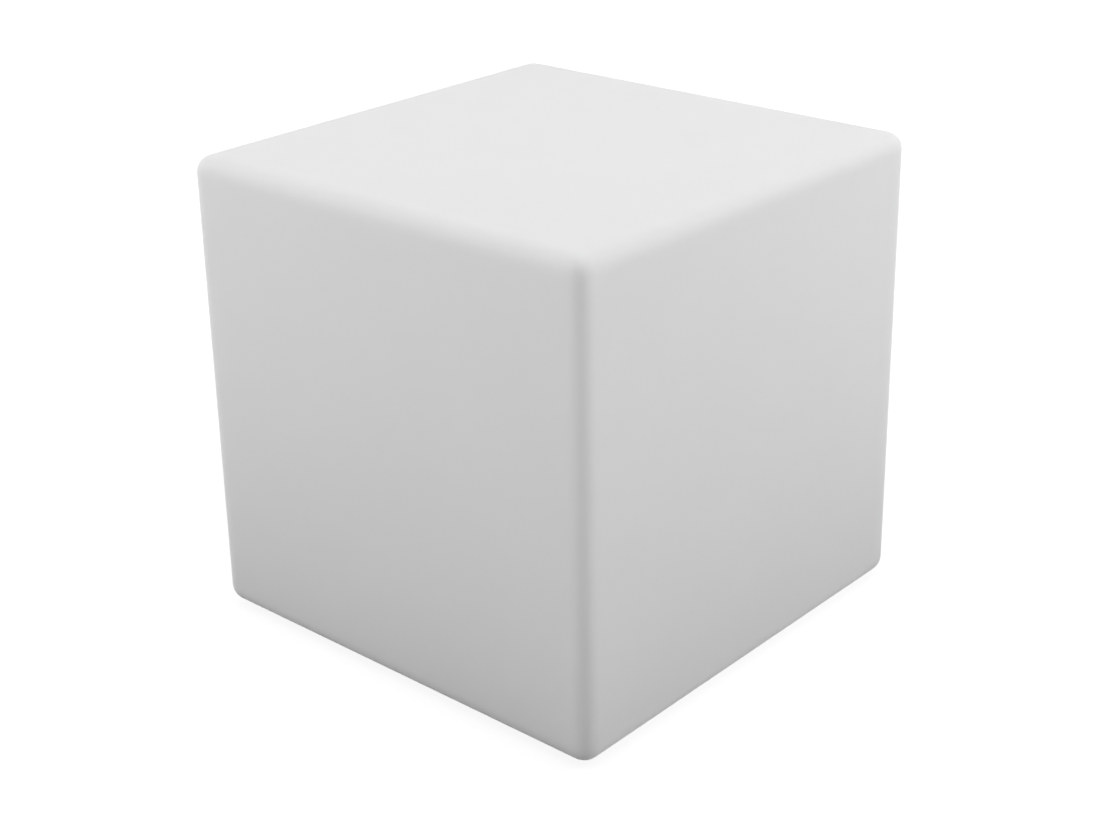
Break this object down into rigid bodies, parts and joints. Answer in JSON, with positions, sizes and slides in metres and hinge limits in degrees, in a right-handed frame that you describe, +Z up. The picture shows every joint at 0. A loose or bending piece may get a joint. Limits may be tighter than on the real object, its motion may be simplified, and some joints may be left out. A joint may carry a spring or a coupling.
{
  "type": "led cube light",
  "caption": "Rechargeable outdoor light: hollow translucent cube with rounded edges on rubber feet, lit from a round module with a push button and capped charging socket underneath.",
  "frame": {"origin": "middle of the footprint, on the floor under the feet", "axes": "+Z up; -Y and +X are the two upright faces seen in the picture, -Y being the one on its left"},
  "size_m": [0.4018, 0.4018, 0.394],
  "materials": {
    "base_plastic": "fine-textured white ABS",
    "bracket_steel": "zinc-plated steel",
    "brass_insert": "knurled brass",
    "button_plastic": "black plastic",
    "cap_silicone": "black silicone",
    "cell_wrap": "steel can in a blue shrink wrap",
    "chip_black": "black epoxy",
    "circuit_board": "green solder mask",
    "clear_plastic": "clear acrylic",
    "control_plastic": "black nylon",
    "diffuser": "frosted translucent plastic",
    "foam": "closed-cell foam",
    "foot_rubber": "matt black rubber",
    "lead_black": "black insulation",
    "lead_red": "red insulation",
    "led_board": "white solder mask on aluminium",
    "led_package": "white package with a yellow window",
    "nickel": "nickel plate",
    "plug_white": "natural nylon",
    "receiver": "dark infrared plastic",
    "shell": "satin translucent white polyethylene, faint orange peel",
    "silicone": "translucent silicone",
    "spring_steel": "spring steel",
    "steel_screw": "stainless steel"
  },
  "bodies": {
    "root": {"battery_lead_black": "lead_black", "battery_lead_red": "lead_red", "board_capacitors": "chip_black", "board_chips": "chip_black", "board_header": "chip_black", "bracket_screws": "steel_screw", "button_body": "control_plastic", "button_lead_black": "lead_black", "button_lead_red": "lead_red", "button_nut": "control_plastic", "button_seal": "silicone", "button_spring": "spring_steel", "button_terminals": "nickel", "cell_bracket": "bracket_steel", "cell_front": "cell_wrap", "cell_pads": "foam", "cell_rear": "cell_wrap", "cell_tabs": "nickel", "charge_socket": "control_plastic", "control_board": "circuit_board", "control_board_screws": "steel_screw", "cube_shell": "shell", "diffuser_dome": "diffuser", "dome_screws": "steel_screw", "dome_seal": "silicone", "flange_gasket": "silicone", "flange_screws": "steel_screw", "foot_front_left": "foot_rubber", "foot_front_right": "foot_rubber", "foot_inserts": "brass_insert", "foot_rear_left": "foot_rubber", "foot_rear_right": "foot_rubber", "foot_screws": "steel_screw", "foot_washers": "steel_screw", "lead_plugs": "plug_white", "led_board": "led_board", "led_board_screws": "steel_screw", "led_packages": "led_package", "light_guide": "clear_plastic", "module_base": "base_plastic", "module_inserts": "brass_insert", "port_cap_anchor": "cap_silicone", "power_inductor": "chip_black", "remote_receiver": "receiver", "socket_lead_black": "lead_black", "socket_lead_red": "lead_red", "socket_nut": "control_plastic", "socket_pin": "nickel", "socket_seal": "silicone", "socket_terminals": "nickel", "status_led": "plug_white"},
    "power_button": {"power_button": "button_plastic"},
    "port_cap": {"port_cap": "cap_silicone"}
  },
  "joints": [
    {"name": "power_button_press", "type": "slide", "parent": "root", "child": "power_button", "axis": [0, 0, 1], "range_m": [0, 0.0015], "stiffness_N_per_m": 1000, "springref_m": -0.0015, "deforming": ["button_spring"]},
    {"name": "port_cap_hinge", "type": "hinge", "parent": "root", "child": "port_cap", "pos_m": [0.015, -0.045, 0.022], "axis": [-1, 0, 0], "range_deg": [0, 110]}
  ]
}
